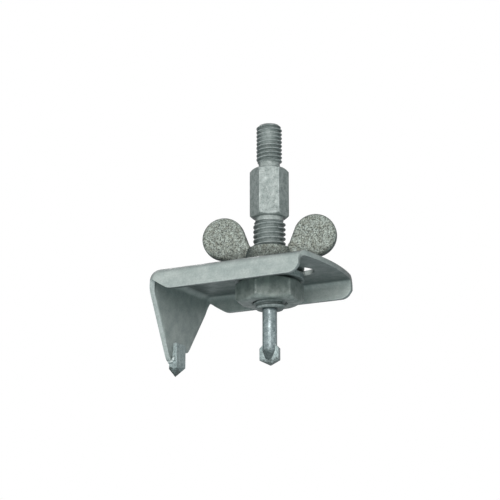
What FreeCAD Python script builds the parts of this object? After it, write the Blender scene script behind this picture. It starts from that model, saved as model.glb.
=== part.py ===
import FreeCAD, Part
import math
import os

# Adjustable circle cutter: a slotted pressed-steel arm with a brazed cutting tip,
# clamped on a threaded spindle that carries the pilot drill.
# Origin: spindle axis, on the upper shoulder of the drive hexagon. +Z runs up the drive stud,
# X runs along the arm, with the cutting leg at -X.

V = FreeCAD.Vector
UP = V(0, 0, 1)

# Drive stud, M8 x 1.25
STUD_CREST_D = 7.85
STUD_ROOT_D = 6.5
STUD_PITCH = 1.25
STUD_LENGTH = 14.2
STUD_NECK_LENGTH = 2.0
STUD_CHAMFER = 0.8

# Drive hexagon
HEX_ACROSS_FLATS = 10.4
HEX_LENGTH = 15.3
HEX_TURN = 26.2
CHAMFER_ANGLE = 30.0
CHAMFER_FACE_SHARE = 0.96

# Arbor thread below the hexagon, M10 x 1.5
ARBOR_CREST_D = 9.85
ARBOR_ROOT_D = 8.16
ARBOR_PITCH = 1.5
ARBOR_NECK_D = 8.6
ARBOR_NECK_LENGTH = 1.3
ARBOR_LENGTH = 28.5
ARBOR_CHAMFER = 1.0

# Share of a thread's pitch that is flat at the crest and at the root
THREAD_CREST_SHARE = 0.12
THREAD_ROOT_SHARE = 0.16

# Pilot drill: round shank with a carbide plate brazed across its end
PILOT_SHANK_D = 4.4
PILOT_SEAT_DEPTH = 20.0
PILOT_REACH = 15.2
PILOT_NOSE_LENGTH = 2.6
PILOT_NOSE_D = 2.6
PLATE_WIDTH = 6.0
PLATE_THICKNESS = 1.8
PLATE_LENGTH = 6.5
PLATE_TOP_CHAMFER = 1.4
PLATE_POINT_ANGLE = 127.0
PLATE_PROUD = 1.7
PLATE_TURN = 8.0
BRAZE_FILM = 0.12

# Arm: one blank bent into a three-sided tray, with a tapered leg at one end
SHEET = 1.5
ARM_WIDTH = 38.0
ARM_DROP = 33.1
ARM_RIGHT = 21.1
ARM_END_BOW_R = 78.0
LEG_OFFSET = 31.8
LEG_LEAN = 4.0
BEND_OUTER_R = 3.3
BLANK_MARGIN = 10.0
CORNER_PLAN_R = 3.4
FLANGE_HEIGHT = 6.8
FLANGE_END_R = 3.5
FLANGE_LEG_INSET = 0.8
FLANGE_SLANT_LENGTH = 6.8
FLANGE_SLANT_RISE = 4.0
FLANGE_SLANT_R = 4.0

LEG_LENGTH = 23.9
LEG_ROOT_DROP = 1.8
LEG_ROOT_WIDTH = 36.4
LEG_END_WIDTH = 7.4
LEG_BACK_SHORT = 4.1
LEG_CORNER_R = 0.9
LEG_ROOT_MARGIN = 0.4

SLOT_WIDTH = 10.8
SLOT_RIGHT = 9.0
SLOT_LEFT = 7.5

# Cutting tip: carbide block let into a notch at the end of the leg
TIP_WIDTH = 5.4
TIP_THICKNESS = 2.7
TIP_NOTCH_DEPTH = 5.7
TIP_BODY_LENGTH = 8.0
TIP_POINT_LENGTH = 2.1
TIP_POINT_BACK = 0.7
TIP_RELIEF = 0.9

# Clamping stack
FACE_GAP = 0.05
WASHER_OUTER_D = 21.0
WASHER_HOLE_D = 10.5
UPPER_WASHER_THICKNESS = 1.5
LOWER_WASHER_THICKNESS = 2.0
WASHER_EDGE_R = 0.3
NUT_ACROSS_FLATS = 18.0
NUT_HEIGHT = 6.7
NUT_TURN = 32.8
THREAD_CLEARANCE = 0.075

# Wing nut
WING_TURN = 18.0
HUB_BASE_D = 15.4
HUB_TOP_D = 12.8
HUB_HEIGHT = 5.1
HUB_BASE_LAND = 1.0
LOBE_R = 6.55
LOBE_REACH = 13.95
LOBE_RISE = 8.6
WING_THICKNESS = 4.0
WING_ROOT_REACH = 8.6
WING_ROOT_RISE = 0.6
WING_HEAD_INSET = 0.64
WING_BORE_MARGIN = 0.6
WING_EDGE_R = 1.2
HUB_MOUTH_CHAMFER = 0.7

# How far a cutting block runs past a face, how far a thread groove's tool stands out
# of the bar, and the tolerance for finding an edge by its place
CUT_PAST = 1.0
GROOVE_PAST = 0.2
TOUCH = 0.001

HEX_BOTTOM = -HEX_LENGTH
ARBOR_END = HEX_BOTTOM - ARBOR_LENGTH
ARM_UNDER = -ARM_DROP
ARM_TOP = ARM_UNDER + SHEET
UPPER_WASHER_BASE = ARM_TOP + FACE_GAP
HUB_BASE = UPPER_WASHER_BASE + UPPER_WASHER_THICKNESS + FACE_GAP
LOWER_WASHER_BASE = ARM_UNDER - FACE_GAP - LOWER_WASHER_THICKNESS
NUT_BASE = LOWER_WASHER_BASE - FACE_GAP - NUT_HEIGHT
NUT_BORE_D = ARBOR_CREST_D + 2 * THREAD_CLEARANCE


def cylinder(diameter, z_low, z_high):
    return Part.makeCylinder(diameter / 2, z_high - z_low, V(0, 0, z_low))


def turned(outline):
    """Solid of revolution about Z from (radius, height) points."""
    points = [V(r, 0, z) for r, z in outline]
    face = Part.Face(Part.makePolygon(points + points[:1]))
    return face.revolve(V(0, 0, 0), UP, 360)


def hexagon(across_flats, z_low, z_high, turn):
    """Hexagonal bar with both ends chamfered down to the circle inside its flats."""
    corner_r = across_flats / math.sqrt(3)
    angles = [math.radians(turn + 60 * i) for i in range(7)]
    wire = Part.makePolygon([V(corner_r * math.cos(a), corner_r * math.sin(a), z_low) for a in angles])
    bar = Part.Face(wire).extrude(V(0, 0, z_high - z_low))
    flat_r = CHAMFER_FACE_SHARE * across_flats / 2
    reach = 2 * corner_r
    drop = (reach - flat_r) * math.tan(math.radians(CHAMFER_ANGLE))
    envelope = turned([(0, z_low), (flat_r, z_low), (reach, z_low + drop),
                       (reach, z_high - drop), (flat_r, z_high), (0, z_high)])
    return bar.common(envelope)


def thread_groove(crest_d, root_d, pitch, z_low, z_high):
    """Tapered groove swept along a helix, to be cut from a bar of the crest diameter."""
    root_r = root_d / 2
    depth = (crest_d - root_d) / 2
    half_root = pitch * THREAD_ROOT_SHARE / 2
    half_open = pitch * (1 - THREAD_CREST_SHARE) / 2
    half_over = half_open + (half_open - half_root) / depth * GROOVE_PAST
    outer_r = root_r + depth + GROOVE_PAST
    section = Part.makePolygon([V(root_r, 0, z_low - half_root), V(outer_r, 0, z_low - half_over),
                                V(outer_r, 0, z_low + half_over), V(root_r, 0, z_low + half_root),
                                V(root_r, 0, z_low - half_root)])
    helix = Part.makeLongHelix(pitch, z_high - z_low, root_r, 0)
    helix.translate(V(0, 0, z_low))
    return Part.Wire(helix.Edges).makePipeShell([section], True, True)


def drive_stud():
    crest_r = STUD_CREST_D / 2
    root_r = STUD_ROOT_D / 2
    blank = turned([(0, -CUT_PAST), (root_r, -CUT_PAST), (root_r, STUD_NECK_LENGTH),
                    (crest_r, STUD_NECK_LENGTH + (crest_r - root_r)),
                    (crest_r, STUD_LENGTH - STUD_CHAMFER), (crest_r - STUD_CHAMFER, STUD_LENGTH),
                    (0, STUD_LENGTH)])
    groove = thread_groove(STUD_CREST_D, STUD_ROOT_D, STUD_PITCH,
                           STUD_NECK_LENGTH, STUD_LENGTH + STUD_PITCH)
    return blank.cut(groove)


def arbor():
    crest_r = ARBOR_CREST_D / 2
    neck_r = ARBOR_NECK_D / 2
    neck_start = HEX_BOTTOM + CUT_PAST
    neck_end = HEX_BOTTOM - ARBOR_NECK_LENGTH
    blank = turned([(0, neck_start), (neck_r, neck_start), (neck_r, neck_end),
                    (crest_r, neck_end - (crest_r - neck_r)), (crest_r, ARBOR_END + ARBOR_CHAMFER),
                    (crest_r - ARBOR_CHAMFER, ARBOR_END), (0, ARBOR_END)])
    groove = thread_groove(ARBOR_CREST_D, ARBOR_ROOT_D, ARBOR_PITCH,
                           ARBOR_END - ARBOR_PITCH, neck_end)
    return blank.cut(groove)


def spindle():
    body = hexagon(HEX_ACROSS_FLATS, HEX_BOTTOM, 0, HEX_TURN).fuse(arbor()).fuse(drive_stud())
    seat = cylinder(PILOT_SHANK_D, ARBOR_END - CUT_PAST, ARBOR_END + PILOT_SEAT_DEPTH)
    return body.cut(seat).removeSplitter()


def turned_plate(solid):
    return solid.rotate(V(0, 0, 0), UP, PLATE_TURN)


def plate_blank(grow):
    """Pointed carbide plate, or its slot when grown, standing across the drill's end."""
    half = PLATE_WIDTH / 2
    point = half / math.tan(math.radians(PLATE_POINT_ANGLE / 2))
    tip = ARBOR_END - PILOT_REACH - PLATE_PROUD
    shoulder = tip + point
    top = tip + PLATE_LENGTH + grow
    thick = PLATE_THICKNESS + 2 * grow
    outline = [(0, tip), (half, shoulder), (half, top - PLATE_TOP_CHAMFER),
               (half - PLATE_TOP_CHAMFER, top), (PLATE_TOP_CHAMFER - half, top),
               (-half, top - PLATE_TOP_CHAMFER), (-half, shoulder), (0, tip)]
    wire = Part.makePolygon([V(x, -thick / 2, z) for x, z in outline])
    return Part.Face(wire).extrude(V(0, thick, 0))


def pilot_parts():
    nose_end = ARBOR_END - PILOT_REACH
    shank_r = PILOT_SHANK_D / 2
    shank = turned([(0, nose_end), (PILOT_NOSE_D / 2, nose_end),
                    (shank_r, nose_end + PILOT_NOSE_LENGTH),
                    (shank_r, ARBOR_END + PILOT_SEAT_DEPTH), (0, ARBOR_END + PILOT_SEAT_DEPTH)])
    plate = plate_blank(0)
    slot = plate_blank(BRAZE_FILM)
    drill = turned_plate(shank.cut(slot))
    braze = turned_plate(shank.common(slot).cut(plate))
    return drill, turned_plate(plate), braze


def lean_shift(drop):
    """How far the leaning leg has moved outwards at a depth below the arm's underside."""
    return drop * math.tan(math.radians(LEG_LEAN))


def tray_blank(inset):
    """Long block with a leaning end wall, its top and corner edges rounded as the bends are."""
    top = ARM_TOP - inset
    low = ARM_UNDER - LEG_LENGTH - BLANK_MARGIN
    left = -LEG_OFFSET + inset
    right = ARM_RIGHT + BLANK_MARGIN
    half = ARM_WIDTH / 2 - inset
    outline = [V(left - lean_shift(ARM_UNDER - top), -half, top), V(right, -half, top),
               V(right, -half, low), V(left - lean_shift(ARM_UNDER - low), -half, low)]
    block = Part.Face(Part.makePolygon(outline + outline[:1])).extrude(V(0, 2 * half, 0))
    uprights = [e for e in block.Edges if e.BoundBox.ZLength > LEG_LENGTH and e.BoundBox.XMax < 0]
    rounded = block.makeFillet(CORNER_PLAN_R - inset, uprights)
    rim = [e for e in rounded.Edges
           if e.BoundBox.ZMin > top - TOUCH and e.BoundBox.XMin < right - CUT_PAST]
    return rounded.makeFillet(BEND_OUTER_R - inset, rim)


def prism_y(points, width):
    """Flat outline of (x, z) points carried across the arm."""
    wire = Part.makePolygon([V(x, -width / 2, z) for x, z in points + points[:1]])
    return Part.Face(wire).extrude(V(0, width, 0))


def prism_x(points, x_low, x_high):
    """Flat outline of (y, z) points carried along the arm."""
    wire = Part.makePolygon([V(x_low, y, z) for y, z in points + points[:1]])
    return Part.Face(wire).extrude(V(x_high - x_low, 0, 0))


def bow_loss():
    """How much shorter the arm is at its sides than on its centre line."""
    return ARM_END_BOW_R - math.sqrt(ARM_END_BOW_R ** 2 - (ARM_WIDTH / 2) ** 2)


def free_corner(low):
    """Waste outside the round lower corner of a flange at the free end."""
    wide = ARM_WIDTH + 2 * CUT_PAST
    centre = ARM_RIGHT - bow_loss() - FLANGE_END_R
    length = ARM_RIGHT - centre + CUT_PAST
    square = Part.makeBox(length, wide, FLANGE_END_R + CUT_PAST, V(centre, -wide / 2, low - CUT_PAST))
    rod = Part.makeCylinder(FLANGE_END_R, wide, V(centre, -wide / 2, low + FLANGE_END_R), V(0, 1, 0))
    return square.cut(rod)


def flange_keep():
    """Side view of the two flanges, one end round and the other slanted up to the leg."""
    low = ARM_TOP - FLANGE_HEIGHT
    high = ARM_TOP + CUT_PAST
    left = -LEG_OFFSET + FLANGE_LEG_INSET
    slant = left + FLANGE_SLANT_LENGTH
    right = ARM_RIGHT + CUT_PAST
    keep = prism_y([(left, high), (right, high), (right, low), (slant, low),
                    (left, low + FLANGE_SLANT_RISE)], ARM_WIDTH + 2 * CUT_PAST)
    corner = [e for e in keep.Edges
              if e.BoundBox.XLength < TOUCH and abs(e.BoundBox.XMin - slant) < TOUCH]
    return keep.makeFillet(FLANGE_SLANT_R, corner).cut(free_corner(low))


def leg_outline():
    """Front view of the leg: tapered, its trailing side cut shorter behind the tip."""
    root = ARM_UNDER - LEG_ROOT_DROP
    end = ARM_UNDER - LEG_LENGTH
    half_root = LEG_ROOT_WIDTH / 2
    half_end = LEG_END_WIDTH / 2
    slope = (half_root - half_end) / (root - end)
    back_end = end + LEG_BACK_SHORT
    half_back = half_end + slope * LEG_BACK_SHORT
    high = ARM_TOP + CUT_PAST
    return [(-half_root, high), (-half_root, root), (-half_end, end), (0, end),
            (0, back_end), (half_back, back_end), (half_root, root), (half_root, high)]


def leg_keep():
    """Room that the leg may fill, round at the two lower corners."""
    keep = prism_x(leg_outline(), -LEG_OFFSET - BLANK_MARGIN, -LEG_OFFSET + SHEET + LEG_ROOT_MARGIN)
    back_end = ARM_UNDER - LEG_LENGTH + LEG_BACK_SHORT
    lower = [e for e in keep.Edges
             if e.BoundBox.XLength > SHEET and e.BoundBox.ZMax < back_end + TOUCH
             and abs(e.BoundBox.YMin) > TOUCH]
    return keep.makeFillet(LEG_CORNER_R, lower)


def upper_keep():
    """Room above the leg's root, where the bent corners stay closed."""
    root = ARM_UNDER - LEG_ROOT_DROP
    wide = ARM_WIDTH + 2 * CUT_PAST
    return Part.makeBox(BLANK_MARGIN + BEND_OUTER_R, wide, ARM_TOP + CUT_PAST - root,
                        V(-LEG_OFFSET - BLANK_MARGIN, -wide / 2, root))


def bowed_end():
    """Large cylinder whose side trims the arm's free end to a shallow bow."""
    low = ARM_TOP - FLANGE_HEIGHT - CUT_PAST
    height = FLANGE_HEIGHT + 2 * CUT_PAST
    return Part.makeCylinder(ARM_END_BOW_R, height, V(ARM_RIGHT - ARM_END_BOW_R, 0, low))


def slot_solid():
    """Long round-ended slot through the plate."""
    z = ARM_UNDER - CUT_PAST
    height = SHEET + 2 * CUT_PAST
    half = SLOT_WIDTH / 2
    middle = Part.makeBox(SLOT_LEFT + SLOT_RIGHT, SLOT_WIDTH, height, V(-SLOT_LEFT, -half, z))
    ends = [Part.makeCylinder(half, height, V(x, 0, z)) for x in (-SLOT_LEFT, SLOT_RIGHT)]
    return middle.fuse(ends).removeSplitter()


def tip_places():
    """Left side, top and lower shoulder of the cutting tip's block."""
    top = ARM_UNDER - LEG_LENGTH + TIP_NOTCH_DEPTH
    left = -LEG_OFFSET - lean_shift(ARM_UNDER - top)
    return left, top, top - TIP_BODY_LENGTH


def tip_notch():
    """Notch in the leg for the tip and its braze."""
    left, top, _ = tip_places()
    half = TIP_WIDTH / 2 + BRAZE_FILM
    low = ARM_UNDER - LEG_LENGTH - BLANK_MARGIN
    corner = V(left - BLANK_MARGIN / 2, -half, low)
    return Part.makeBox(BLANK_MARGIN, 2 * half, top + BRAZE_FILM - low, corner)


def arm_bracket():
    tray = tray_blank(0).cut(tray_blank(SHEET))
    keep = flange_keep().common(bowed_end()).fuse([leg_keep(), upper_keep()])
    return tray.common(keep).cut(slot_solid()).cut(tip_notch()).removeSplitter()


def cutter_tip():
    """Carbide block whose lower end is ground by four facets to one point."""
    left, top, low = tip_places()
    right = left + TIP_THICKNESS
    half = TIP_WIDTH / 2
    upper = [V(left, -half, top), V(right, -half, top), V(right, half, top), V(left, half, top)]
    lower = [V(left, -half, low), V(right, -half, low + TIP_RELIEF / 2),
             V(right, half, low + TIP_RELIEF), V(left, half, low + TIP_RELIEF / 2)]
    apex = V(left + TIP_POINT_BACK, 0, low - TIP_POINT_LENGTH)
    outlines = [upper]
    for i in range(4):
        j = (i + 1) % 4
        outlines.append([upper[i], upper[j], lower[j], lower[i]])
        outlines.append([lower[i], lower[j], apex])
    faces = [Part.Face(Part.makePolygon(points + points[:1])) for points in outlines]
    solid = Part.Solid(Part.Shell(faces))
    if solid.Volume < 0:
        solid.reverse()
    return solid


def cutter_braze():
    """Braze that fills the notch round three sides of the tip's block."""
    left, top, _ = tip_places()
    wall = tray_blank(0).cut(tray_blank(SHEET)).common(leg_keep())
    low = ARM_UNDER - LEG_LENGTH - BLANK_MARGIN
    corner = V(left - BLANK_MARGIN, -TIP_WIDTH / 2, low)
    block = Part.makeBox(2 * BLANK_MARGIN, TIP_WIDTH, top - low, corner)
    return wall.common(tip_notch()).cut(block)


def washer(thickness, base):
    ring = cylinder(WASHER_OUTER_D, base, base + thickness).cut(
        cylinder(WASHER_HOLE_D, base - CUT_PAST, base + thickness + CUT_PAST))
    rims = [e for e in ring.Edges if abs(e.BoundBox.XMax - WASHER_OUTER_D / 2) < TOUCH
            and e.BoundBox.ZLength < TOUCH]
    return ring.makeFillet(WASHER_EDGE_R, rims)


def hex_nut():
    top = NUT_BASE + NUT_HEIGHT
    nut = hexagon(NUT_ACROSS_FLATS, NUT_BASE, top, NUT_TURN)
    return nut.cut(cylinder(NUT_BORE_D, NUT_BASE - CUT_PAST, top + CUT_PAST))


def tangent_point(centre, radius, outside, side):
    """Where the line from an outside point touches a circle, on the side given by +1 or -1."""
    dx, dz = outside[0] - centre[0], outside[1] - centre[1]
    distance = math.hypot(dx, dz)
    angle = math.atan2(dz, dx) + side * math.acos(radius / distance)
    return centre[0] + radius * math.cos(angle), centre[1] + radius * math.sin(angle)


def wing(side):
    """One flat wing: a round lobe on a web that runs down into the hub."""
    top = HUB_BASE + HUB_HEIGHT
    inner = (HUB_TOP_D / 2 - WING_HEAD_INSET, top)
    outer = (WING_ROOT_REACH, HUB_BASE + WING_ROOT_RISE)
    centre = (LOBE_REACH, HUB_BASE + LOBE_RISE)
    rise = tangent_point(centre, LOBE_R, inner, -1)
    fall = tangent_point(centre, LOBE_R, outer, 1)
    slant = math.sqrt(0.5) * LOBE_R
    crown = (centre[0] + slant, centre[1] + slant)
    half = WING_THICKNESS / 2

    def at(p):
        return V(side * p[0], -half, p[1])

    inside = NUT_BORE_D / 2 + WING_BORE_MARGIN
    foot = (inside, HUB_BASE + WING_ROOT_RISE)
    head = (inside, top)
    edges = [Part.LineSegment(at(foot), at(outer)).toShape(),
             Part.LineSegment(at(outer), at(fall)).toShape(),
             Part.Arc(at(fall), at(crown), at(rise)).toShape(),
             Part.LineSegment(at(rise), at(inner)).toShape(),
             Part.LineSegment(at(inner), at(head)).toShape(),
             Part.LineSegment(at(head), at(foot)).toShape()]
    blade = Part.Face(Part.Wire(edges)).extrude(V(0, WING_THICKNESS, 0))
    rims = [e for e in blade.Edges if e.BoundBox.YLength < TOUCH
            and min(side * e.BoundBox.XMin, side * e.BoundBox.XMax) > inner[0] - TOUCH]
    return blade.makeFillet(WING_EDGE_R, rims)


def wing_nut():
    top = HUB_BASE + HUB_HEIGHT
    hub = turned([(0, HUB_BASE), (HUB_BASE_D / 2, HUB_BASE), (HUB_BASE_D / 2, HUB_BASE + HUB_BASE_LAND),
                  (HUB_TOP_D / 2, top), (0, top)])
    body = hub.fuse([wing(1), wing(-1)]).removeSplitter()
    bore = cylinder(NUT_BORE_D, HUB_BASE - CUT_PAST, top + CUT_PAST)
    mouth = turned([(0, top - HUB_MOUTH_CHAMFER), (NUT_BORE_D / 2, top - HUB_MOUTH_CHAMFER),
                    (NUT_BORE_D / 2 + HUB_MOUTH_CHAMFER, top), (0, top)])
    return body.cut(bore).cut(mouth).rotate(V(0, 0, 0), UP, WING_TURN)


def write_parts():
    pilot_drill, pilot_plate, pilot_braze = pilot_parts()
    pieces = {
        "spindle": spindle(),
        "pilot_drill": pilot_drill,
        "pilot_carbide_plate": pilot_plate,
        "pilot_braze": pilot_braze,
        "arm_bracket": arm_bracket(),
        "cutter_tip": cutter_tip(),
        "cutter_braze": cutter_braze(),
        "wing_nut": wing_nut(),
        "upper_washer": washer(UPPER_WASHER_THICKNESS, UPPER_WASHER_BASE),
        "lower_washer": washer(LOWER_WASHER_THICKNESS, LOWER_WASHER_BASE),
        "hex_nut": hex_nut(),
    }
    os.makedirs("parts", exist_ok=True)
    for name, shape in pieces.items():
        solids = shape.Solids
        print(name, len(solids), "solids", shape.isValid(), round(shape.Volume, 2))
        shape.exportStep("parts/" + name + ".step")


write_parts()
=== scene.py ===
import math

import bmesh
import bpy
import numpy as np
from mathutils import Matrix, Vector


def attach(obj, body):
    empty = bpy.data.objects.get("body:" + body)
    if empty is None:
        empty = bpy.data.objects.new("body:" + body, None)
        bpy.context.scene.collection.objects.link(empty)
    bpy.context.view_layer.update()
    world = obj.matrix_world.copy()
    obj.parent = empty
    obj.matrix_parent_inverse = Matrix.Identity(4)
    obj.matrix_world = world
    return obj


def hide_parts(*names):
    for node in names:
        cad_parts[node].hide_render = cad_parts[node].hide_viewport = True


# Adjustable circle cutter: a threaded spindle with a pilot drill, and a slotted sheet-steel arm
# with a brazed cutting tip that a wing nut clamps on it. Sizes are in millimetres, as on a drawing,
# and MM turns them into metres. +Z runs up the drive stud and the cutting leg is at -X.
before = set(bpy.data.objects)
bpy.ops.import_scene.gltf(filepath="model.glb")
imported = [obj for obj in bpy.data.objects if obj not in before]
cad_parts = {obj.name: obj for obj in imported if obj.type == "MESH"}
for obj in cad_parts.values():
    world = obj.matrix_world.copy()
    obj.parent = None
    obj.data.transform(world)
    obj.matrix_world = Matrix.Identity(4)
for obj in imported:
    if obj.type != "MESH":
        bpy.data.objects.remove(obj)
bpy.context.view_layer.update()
MM = 0.001


# Studio: the cutter hangs by its drive stud over a pale floor, lit by a large soft box at the
# front, a weak one behind and above, and a dim bluish sky. The camera looks up at it a little
# from the front right.
CAMERA_AZIMUTH, CAMERA_ELEVATION = 27.6, -15.25
CAMERA_DISTANCE, CAMERA_LENS, CLIP_START = 0.5, 118.44, 0.01
TARGET = Vector((-6.65, 0, -24.42)) * MM


def aim(thing, azimuth, elevation, distance):
    """Stands a camera or lamp off from the target, at angles in degrees, and turns it to look at it."""
    azimuth, elevation = math.radians(azimuth), math.radians(elevation)
    level = math.cos(elevation)
    back = Vector((math.sin(azimuth) * level, -math.cos(azimuth) * level, math.sin(elevation)))
    thing.rotation_mode = "QUATERNION"
    thing.location = TARGET + back * distance
    thing.rotation_quaternion = (-back).to_track_quat("-Z", "Y")
    bpy.context.scene.collection.objects.link(thing)


camera = bpy.data.objects.new("camera", bpy.data.cameras.new("camera"))
camera.data.lens = CAMERA_LENS
camera.data.clip_start = CLIP_START
aim(camera, CAMERA_AZIMUTH, CAMERA_ELEVATION, CAMERA_DISTANCE)
bpy.context.scene.camera = camera
bpy.context.scene.view_settings.view_transform = "Standard"

LAMP_DISTANCE, LAMP_SIZE, LAMP_SPREAD = 1.2, 0.8, math.radians(60)
for lamp_name, azimuth, elevation, power in (("key_box", 22, 11, 2.2), ("back_box", 215, 38, 0.9)):
    lamp = bpy.data.objects.new(lamp_name, bpy.data.lights.new(lamp_name, "AREA"))
    lamp.data.size = LAMP_SIZE
    lamp.data.spread = LAMP_SPREAD
    lamp.data.energy = power
    aim(lamp, azimuth, elevation, LAMP_DISTANCE)


def add(tree, kind, **values):
    """Adds a node. A value named after one of the node's properties sets it; the others name an
    input, with _ for a space, or number it as in i0, and set it or link a socket to it."""
    node = tree.nodes.new(kind)
    properties = [label for label in values if hasattr(node, label)]
    for label in properties:
        setattr(node, label, values[label])
    for label, value in values.items():
        if label in properties:
            continue
        numbered = label[0] == "i" and label[1:].isdigit()
        socket = node.inputs[int(label[1:])] if numbered else node.inputs[label.replace("_", " ")]
        if isinstance(value, bpy.types.NodeSocket):
            tree.links.new(value, socket)
        else:
            socket.default_value = value
    return node


def seen_directly(tree):
    """1 for what the camera, a mirror or glass sees, and 0 for light that falls on the cutter."""
    path = add(tree, "ShaderNodeLightPath")
    mirrored = add(tree, "ShaderNodeMath", operation="ADD", i0=path.outputs["Is Glossy Ray"],
                   i1=path.outputs["Is Transmission Ray"])
    return add(tree, "ShaderNodeMath", operation="ADD", use_clamp=True,
               i0=path.outputs["Is Camera Ray"], i1=mirrored.outputs[0]).outputs[0]


SKY_LIGHT = 0.17
SKY_TINT, WHITE = (0.48, 0.9, 1.0, 1), (1, 1, 1, 1)
world = bpy.data.worlds.new("studio")
bpy.context.scene.world = world
world.use_nodes = True
sky = world.node_tree
sky.nodes.clear()
direct = seen_directly(sky)
strength = add(sky, "ShaderNodeMapRange", Value=direct, To_Min=SKY_LIGHT, To_Max=1.0)
hue = add(sky, "ShaderNodeMix", data_type="RGBA", i0=direct, i6=SKY_TINT, i7=WHITE)
background = add(sky, "ShaderNodeBackground", Color=hue.outputs[2], Strength=strength.outputs[0])
sky.links.new(background.outputs[0], add(sky, "ShaderNodeOutputWorld").inputs[0])

FLOOR_DROP, FLOOR_R, FLOOR_SIDES = 0.25, 1.6, 64
PAPER, PAPER_ROUGHNESS, PAPER_GLOW = (0.8, 0.84, 0.84, 1), 0.9, 0.6
ring = np.linspace(0, 2 * np.pi, FLOOR_SIDES, endpoint=False)
rim_points = np.stack([FLOOR_R * np.cos(ring), FLOOR_R * np.sin(ring), 0 * ring - FLOOR_DROP], 1)
floor_mesh = bpy.data.meshes.new("floor")
floor_mesh.from_pydata(rim_points.tolist(), [], [list(range(FLOOR_SIDES))])
floor = bpy.data.objects.new("floor", floor_mesh)
bpy.context.scene.collection.objects.link(floor)
paper = bpy.data.materials.new("pale_paper")
paper.use_nodes = True
paper_tree = paper.node_tree
paper_shader = paper_tree.nodes["Principled BSDF"]
paper_shader.inputs["Base Color"].default_value = PAPER
paper_shader.inputs["Roughness"].default_value = PAPER_ROUGHNESS
paper_shader.inputs["Emission Color"].default_value = WHITE
glow = add(paper_tree, "ShaderNodeMath", operation="MULTIPLY", i0=seen_directly(paper_tree),
           i1=PAPER_GLOW)
paper_tree.links.new(glow.outputs[0], paper_shader.inputs["Emission Strength"])
floor.data.materials.append(paper)


# Spindle: one turned and milled steel bar, zinc plated: M8 drive stud, 10.4 mm hexagon, and the
# M10 arbor thread that the arm is clamped on. The pilot drill sits in its lower end. Each thread
# has a patch that is worn and clogged with dust.
STUD_CREST_R, STUD_ROOT_R, STUD_PITCH = 3.925, 3.25, 1.25
STUD_TOP, STUD_THREAD_END, STUD_CHAMFER = 14.2, 2.0, 0.8
HEX_FLAT_R, HEX_BOTTOM, HEX_TURN = 5.2, -15.3, 26.2
ARBOR_CREST_R, ARBOR_ROOT_R, ARBOR_PITCH = 4.925, 4.08, 1.5
ARBOR_NECK_R, ARBOR_THREAD_START, ARBOR_END, ARBOR_CHAMFER = 4.3, -16.6, -43.8, 1.0
PILOT_BORE_R, PILOT_BORE_TOP = 2.21, -30.0
CHAMFER_SHARE, CHAMFER_RISE = 0.96, math.tan(math.radians(30))
CHAMFER_DEPTHS = np.array([0.0, 0.02, 0.06, 0.12, 0.2, 0.3, 0.42, 0.54, 0.68, 0.84, 1.02, 1.25])
HEX_EDGE_SHARPNESS, CHAMFER_SHARPNESS, HEX_MIDDLE_RINGS = 160, 44, 9
GROOVE_FLAT, FLANK, FLANK_STRAIGHT = 0.09, 0.34, 0.55
WORN_ANGLE, WORN_SPREAD, WORN_HEIGHT = math.radians(-72), 0.8, 0.72
STUD_WORN_Z, STUD_WORN_REACH, STUD_WORN_SHARE = 10.2, 2.6, 0.85
ARBOR_WORN_Z, ARBOR_WORN_REACH, ARBOR_WORN_SHARE = -20.5, 3.4, 0.5
COLUMNS, STUD_ROWS, ARBOR_ROWS = 144, 160, 300
PLAIN_EDGE = 0.55


def skin(name, grid, masks, closed=False):
    """Closed mesh from an (m, n, 3) grid of rings: each ring closes on itself, and the rings either
    close into a loop or end in a fan to the ring's middle. masks are (m, n) point attributes."""
    m, n = grid.shape[:2]
    i, j = np.meshgrid(np.arange(m if closed else m - 1), np.arange(n), indexing="ij")
    low, high, right = i * n, (i + 1) % m * n, (j + 1) % n
    faces = np.stack([low + j, low + right, high + right, high + j], -1).reshape(-1, 4).tolist()
    points = grid.reshape(-1, 3)
    values = {key: mask.reshape(-1) for key, mask in masks.items()}
    if not closed:
        points = np.vstack([points, grid[0].mean(0), grid[-1].mean(0)])
        values = {key: np.append(v, v[[0, -1]]) for key, v in values.items()}
        around = np.arange(n)
        for centre, start in ((m * n, 0), (m * n + 1, (m - 1) * n)):
            fan = np.stack([np.full(n, centre), start + around, start + (around + 1) % n], 1)
            faces += fan.tolist()
    mesh = bpy.data.meshes.new(name)
    mesh.from_pydata((points * MM).tolist(), [], faces)
    for key, value in values.items():
        mask = mesh.attributes.new(key, "FLOAT", "POINT")
        mask.data.foreach_set("value", value.astype(np.float32))
    return shown(name, mesh)


def shown(name, mesh, weld=1e-7, sharp=math.radians(38), outwards=True):
    """Object for a mesh, with doubles merged, faces outwards, and smooth shading up to an angle."""
    work = bmesh.new()
    work.from_mesh(mesh)
    bmesh.ops.remove_doubles(work, verts=work.verts, dist=weld)
    bmesh.ops.dissolve_degenerate(work, edges=work.edges, dist=weld)
    if outwards:
        bmesh.ops.recalc_face_normals(work, faces=work.faces)
    work.to_mesh(mesh)
    work.free()
    mesh.polygons.foreach_set("use_smooth", np.ones(len(mesh.polygons), bool))
    mesh.set_sharp_from_angle(angle=sharp)
    piece = bpy.data.objects.new(name, mesh)
    bpy.context.scene.collection.objects.link(piece)
    return piece


def round_min(radii, power):
    """Smallest of several radii r as (sum of r^-power)^(-1/power), which rounds the corner where
    two of them meet."""
    return sum((1 / r) ** power for r in radii) ** (-1 / power)


def hexagon_r(around, flat_r):
    """Radius of a hexagon bar at an angle from a corner, its edges a little rounded."""
    facing = [np.cos(around - math.radians(30 + 60 * k)) for k in range(6)]
    return round_min([flat_r / np.maximum(c, 0.2) for c in facing], HEX_EDGE_SHARPNESS)


angle = np.arange(COLUMNS) * 2 * np.pi / COLUMNS
world_angle = angle + math.radians(HEX_TURN)


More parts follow.
